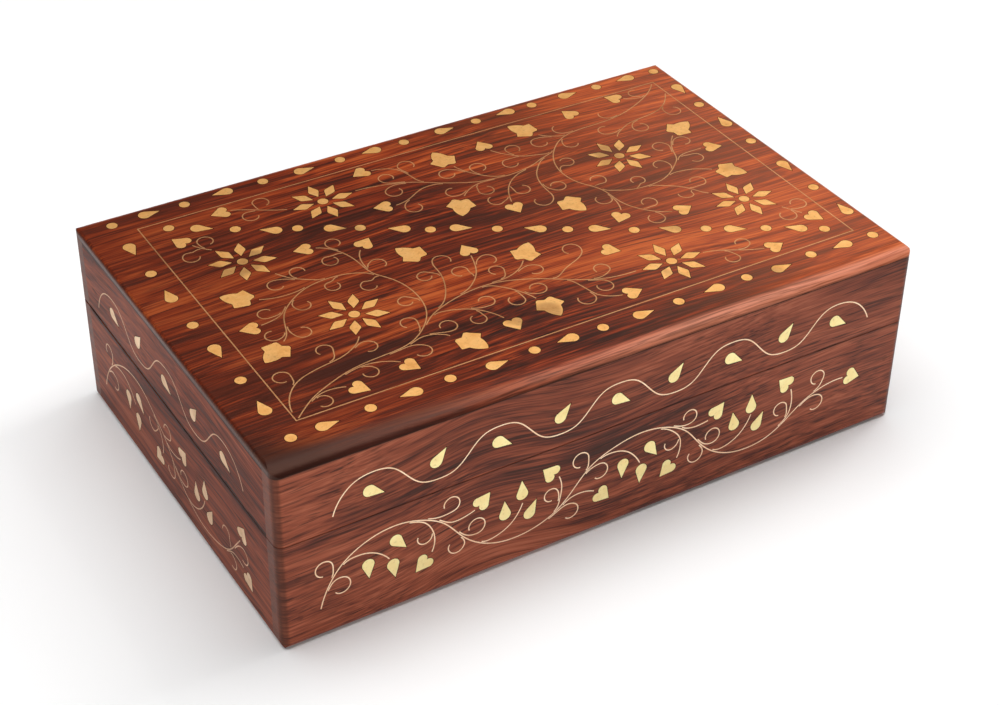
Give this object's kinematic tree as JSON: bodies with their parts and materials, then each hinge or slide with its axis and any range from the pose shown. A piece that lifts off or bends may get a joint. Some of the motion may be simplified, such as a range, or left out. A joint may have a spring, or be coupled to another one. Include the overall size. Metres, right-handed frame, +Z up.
{
  "type": "inlaid wooden box",
  "caption": "Rectangular hinged wooden keepsake box with a vine of hearts, ivy and flowers in inlaid brass on the lid and scrolls on the walls.",
  "frame": {"origin": "centre of the underside of the bottom board, which is flush with the feet of the walls", "axes": "+X along the length to the right of a person facing the front, +Y to the back where the hinges are, +Z up through the lid"},
  "size_m": [0.254, 0.1656, 0.0745],
  "materials": {
    "top_wood": "polished, strong dark figure along X",
    "wall_wood": "satin, strong dark figure along the wall",
    "bottom_wood": "plain oiled board",
    "nail_filler": "filler a little lighter than the wood",
    "top_brass": "polished, warm patina",
    "wall_brass": "polished, pale",
    "brass_wire": "pinkish gold, filed flush",
    "inlay_cement": "dark lacquer cement",
    "hinge_brass": "aged, fine scratches",
    "nail_steel": "dull steel",
    "velvet": "dark red velvet"
  },
  "bodies": {
    "base": {"base_back_board": "wall_wood", "base_bottom_board": "bottom_wood", "base_corner_nails": "nail_steel", "base_floor_pad": "velvet", "base_front_board": "wall_wood", "base_front_drops": "wall_brass", "base_front_hearts": "wall_brass", "base_front_inlay_cement": "inlay_cement", "base_front_scroll_wires": "brass_wire", "base_left_board": "wall_wood", "base_nail_fillers": "nail_filler", "base_right_board": "wall_wood", "base_side_drops": "wall_brass", "base_side_hearts": "wall_brass", "base_side_inlay_cement": "inlay_cement", "base_side_scroll_wires": "brass_wire", "base_wall_lining": "velvet", "bottom_brads": "nail_steel", "hinge_screws_base": "hinge_brass", "left_hinge_base_leaf": "hinge_brass", "left_hinge_pin": "hinge_brass", "right_hinge_base_leaf": "hinge_brass", "right_hinge_pin": "hinge_brass"},
    "lid": {"hinge_screws_lid": "hinge_brass", "left_hinge_lid_leaf": "hinge_brass", "right_hinge_lid_leaf": "hinge_brass", "lid_back_board": "wall_wood", "lid_front_board": "wall_wood", "lid_front_drops": "wall_brass", "lid_front_inlay_cement": "inlay_cement", "lid_front_wave_wires": "brass_wire", "lid_left_board": "wall_wood", "lid_right_board": "wall_wood", "lid_side_drops": "wall_brass", "lid_side_inlay_cement": "inlay_cement", "lid_side_wave_wires": "brass_wire", "lid_top_board": "top_wood", "lid_top_pad": "velvet", "lid_wall_lining": "velvet", "top_border_dots": "top_brass", "top_border_drops": "top_brass", "top_border_wire": "brass_wire", "top_flower_centres": "top_brass", "top_flower_petals": "top_brass", "top_hearts": "top_brass", "top_inlay_cement": "inlay_cement", "top_ivy_leaves": "top_brass", "top_lower_vine_wires": "brass_wire", "top_slanting_dots": "top_brass", "top_slanting_drops": "top_brass", "top_upper_vine_wires": "brass_wire"}
  },
  "joints": [
    {"name": "lid_hinge", "type": "hinge", "parent": "base", "child": "lid", "pos_m": [0, 0.0817, 0.0441], "axis": [-1, 0, 0], "range_deg": [0, 110]}
  ]
}
